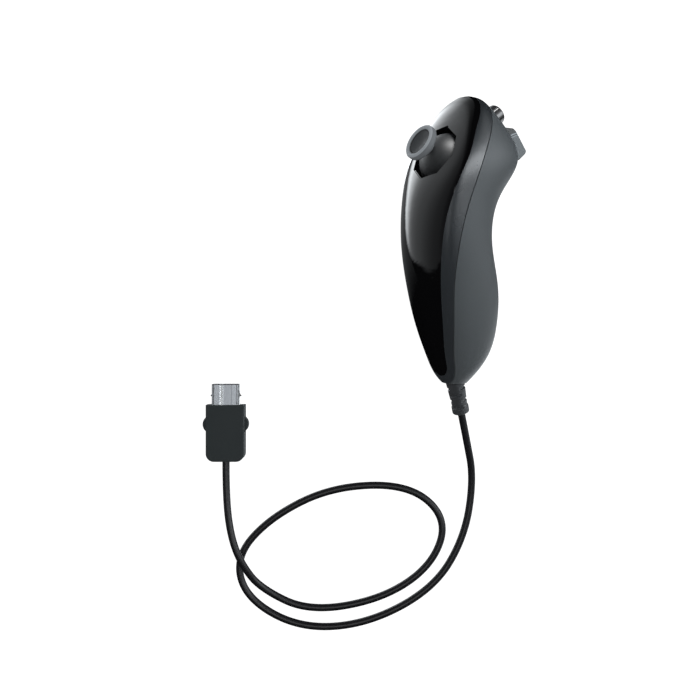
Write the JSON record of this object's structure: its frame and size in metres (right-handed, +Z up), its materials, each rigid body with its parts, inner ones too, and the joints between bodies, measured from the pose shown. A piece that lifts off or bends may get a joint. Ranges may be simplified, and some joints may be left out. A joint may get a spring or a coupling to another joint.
{
  "type": "motion game controller with thumb stick",
  "caption": "One-handed motion game controller with an octagonal-gated thumb stick, a round button, a trigger, and a looped cord ending in a latching plug.",
  "frame": {"origin": "on the table, under the middle of the resting controller (its box without the cord and the plug)", "axes": "+Y from the cord's end of the controller to its nose, +Z up from the table"},
  "size_m": [0.1313, 0.2157, 0.0426],
  "materials": {
    "gloss_black": "high gloss",
    "satin_slate": "satin",
    "matte_slate": "fine matte texture",
    "thumb_grey": "matte, slightly rubbery",
    "dome_black": "semi-matte",
    "button_black": "gloss",
    "boot_black": "satin",
    "cord_black": "satin",
    "plug_slate": "satin",
    "plug_metal": "bright nickel",
    "tongue_black": "matte",
    "contact_gold": "polished",
    "board_green": "solder mask",
    "chip_black": "matte",
    "part_tan": "matte",
    "connector_white": "matte",
    "wire_white": "satin",
    "steel": "plain",
    "pad_grey": "soft matte"
  },
  "bodies": {
    "controller": {"front_cover": "gloss_black", "side_band": "satin_slate", "rear_shell": "matte_slate", "main_board": "board_green", "main_chip": "chip_black", "motion_sensor": "chip_black", "small_parts": "part_tan", "cable_connector": "connector_white", "wires": "wire_white", "board_screws": "steel", "case_screws": "steel", "stick_housing": "chip_black", "stick_screws": "steel", "stick_sensor_x": "part_tan", "stick_sensor_y": "part_tan", "centring_spring": "steel", "button_pad": "pad_grey", "button_board": "board_green", "button_bracket": "chip_black", "trigger_pin": "steel", "strain_relief": "boot_black", "cord": "cord_black", "plug_base": "plug_slate", "plug_cover": "plug_slate", "plug_shell": "plug_metal", "plug_insert": "tongue_black", "plug_contacts": "contact_gold"},
    "gimbal": {"gimbal_ring": "chip_black"},
    "stick": {"stick_shaft": "dome_black", "stick_dome": "dome_black", "thumb_cap": "thumb_grey"},
    "round_button": {"round_button": "button_black"},
    "trigger": {"trigger": "matte_slate"},
    "plug_latch_left": {"plug_latch_left": "plug_slate"},
    "plug_latch_right": {"plug_latch_right": "plug_slate"}
  },
  "joints": [
    {"name": "gimbal_tilt", "type": "hinge", "parent": "controller", "child": "gimbal", "pos_m": [-0.00723, 0.03664, 0.02495], "axis": [0.5592, -0.0867, 0.8245], "range_deg": [-16, 16], "stiffness_Nm_per_rad": 0.03},
    {"name": "stick_tilt", "type": "hinge", "parent": "gimbal", "child": "stick", "pos_m": [-0.00723, 0.03664, 0.02495], "axis": [0.3764, 0.9127, -0.1593], "range_deg": [-16, 16], "stiffness_Nm_per_rad": 0.03},
    {"name": "round_button_press", "type": "slide", "parent": "controller", "child": "round_button", "axis": [-0.6873, -0.6046, 0.4026], "range_m": [0, 0.001], "stiffness_N_per_m": 800},
    {"name": "trigger_pull", "type": "hinge", "parent": "controller", "child": "trigger", "pos_m": [0.01301, 0.04235, 0.01182], "axis": [0.5592, -0.0867, 0.8245], "range_deg": [0, 5], "stiffness_Nm_per_rad": 0.1},
    {"name": "plug_latch_left_press", "type": "hinge", "parent": "controller", "child": "plug_latch_left", "pos_m": [-0.1008, -0.075, 0.0047], "axis": [0, 0, -1], "range_deg": [0, 2.6], "stiffness_Nm_per_rad": 0.3},
    {"name": "plug_latch_right_press", "type": "hinge", "parent": "controller", "child": "plug_latch_right", "pos_m": [-0.0922, -0.075, 0.0047], "axis": [0, 0, 1], "range_deg": [0, 2.6], "stiffness_Nm_per_rad": 0.3}
  ]
}
